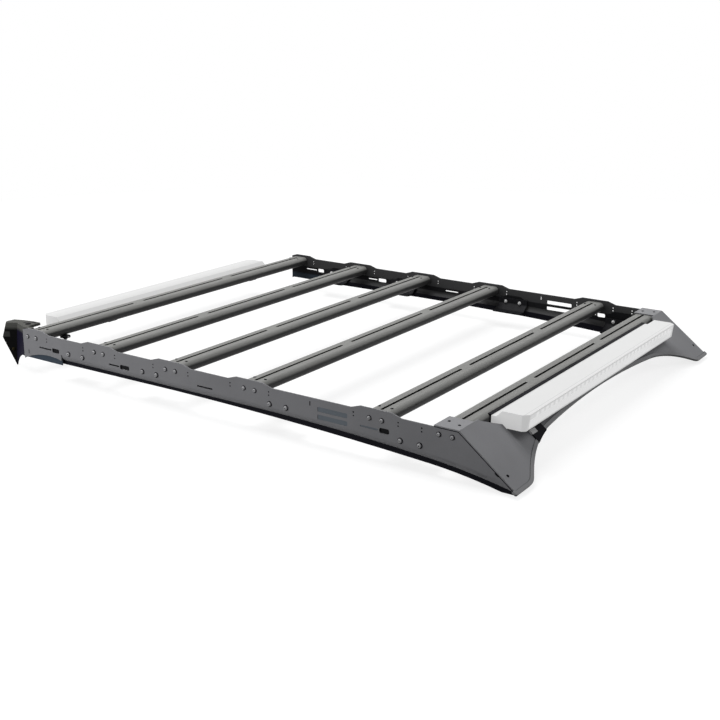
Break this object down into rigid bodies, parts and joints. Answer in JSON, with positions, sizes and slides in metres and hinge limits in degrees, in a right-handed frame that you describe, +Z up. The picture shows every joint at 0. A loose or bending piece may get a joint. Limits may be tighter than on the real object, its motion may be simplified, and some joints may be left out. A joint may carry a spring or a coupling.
{
  "type": "vehicle roof rack",
  "caption": "Low vehicle roof rack with sheet side rails, slotted crossbars, a sloped front fairing and slim light bars front and rear.",
  "frame": {"origin": "under the middle of the rack, on the level surface that its lowest corners stand on", "axes": "+X to the front fairing, +Y to the vehicle's left, +Z up"},
  "size_m": [1.5502, 1.191, 0.123],
  "materials": {
    "bar_coat": "satin powder coat",
    "rail_coat": "satin powder coat",
    "black_rubber": "matt",
    "liner_black": "matt black",
    "grey_rubber": "matt",
    "foot_black": "satin black",
    "bracket_black": "satin black",
    "light_white": "satin white",
    "light_lens": "clear coated"
  },
  "bodies": {
    "root": {"corner_bracket": "bracket_black", "crossbar_1": "bar_coat", "crossbar_2": "bar_coat", "crossbar_3": "bar_coat", "crossbar_4": "bar_coat", "crossbar_5": "bar_coat", "crossbar_6": "bar_coat", "fairing_seal": "grey_rubber", "foot_1_left": "foot_black", "foot_1_right": "foot_black", "foot_2_left": "foot_black", "foot_2_right": "foot_black", "foot_3_left": "foot_black", "foot_3_right": "foot_black", "foot_4_left": "foot_black", "foot_4_right": "foot_black", "front_fairing": "rail_coat", "front_light_bracket_left": "bracket_black", "front_light_bracket_right": "bracket_black", "front_light_cap_left": "light_white", "front_light_cap_right": "light_white", "front_light_housing": "light_white", "front_light_lens": "light_lens", "lead_cover": "bracket_black", "rail_liner_left": "liner_black", "rail_liner_right": "liner_black", "rail_seal_left": "black_rubber", "rail_seal_right": "black_rubber", "rear_light_bracket_left": "bracket_black", "rear_light_bracket_right": "bracket_black", "rear_light_cap_left": "light_white", "rear_light_cap_right": "light_white", "rear_light_housing": "light_white", "rear_light_lens": "light_lens", "side_rail_left": "rail_coat", "side_rail_right": "rail_coat"}
  },
  "joints": []
}
